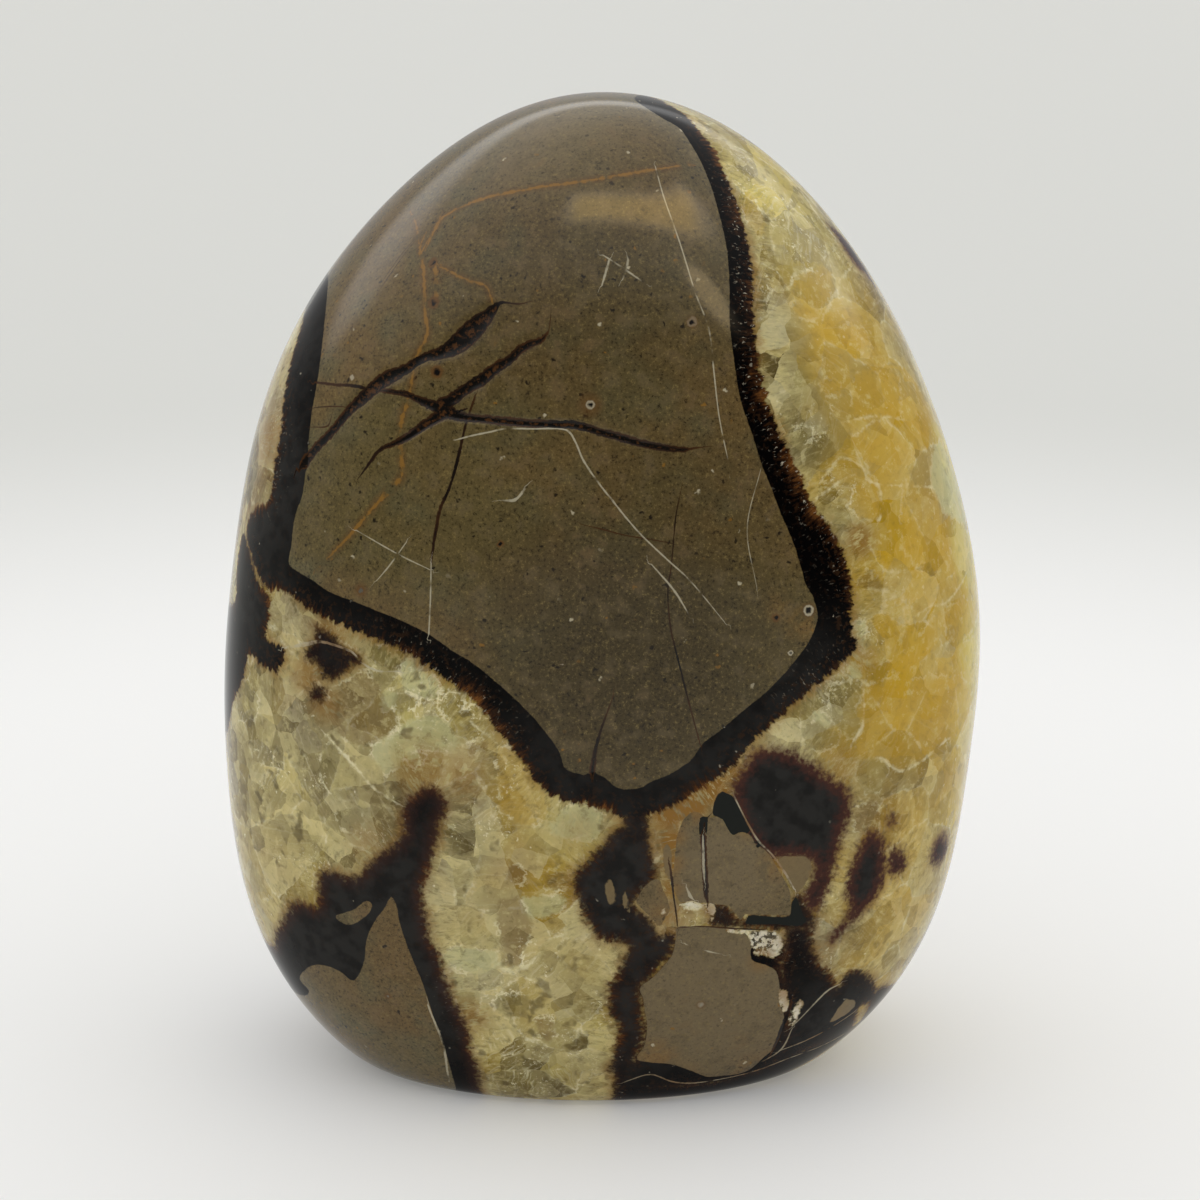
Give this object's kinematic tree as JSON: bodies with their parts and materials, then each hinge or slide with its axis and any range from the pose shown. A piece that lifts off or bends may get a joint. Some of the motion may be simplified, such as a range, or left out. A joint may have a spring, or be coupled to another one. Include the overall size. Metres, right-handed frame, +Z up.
{
  "type": "septarian nodule",
  "caption": "Polished septarian nodule, a flattened egg of mudstone blocks and amber calcite divided by dark seams, sawn flat underneath to stand.",
  "frame": {"origin": "middle of the sawn flat foot", "axes": "+Z up along the tall axis; -Y is the way the main polished face looks; +X is to the right of that face as it is looked at"},
  "size_m": [0.0943, 0.0634, 0.1215],
  "materials": {
    "polished_septarian": "polished: olive-brown mudstone, amber and pale green-yellow calcite, black-brown seams"
  },
  "bodies": {
    "root": {"septarian_nodule": "polished_septarian"}
  },
  "joints": []
}
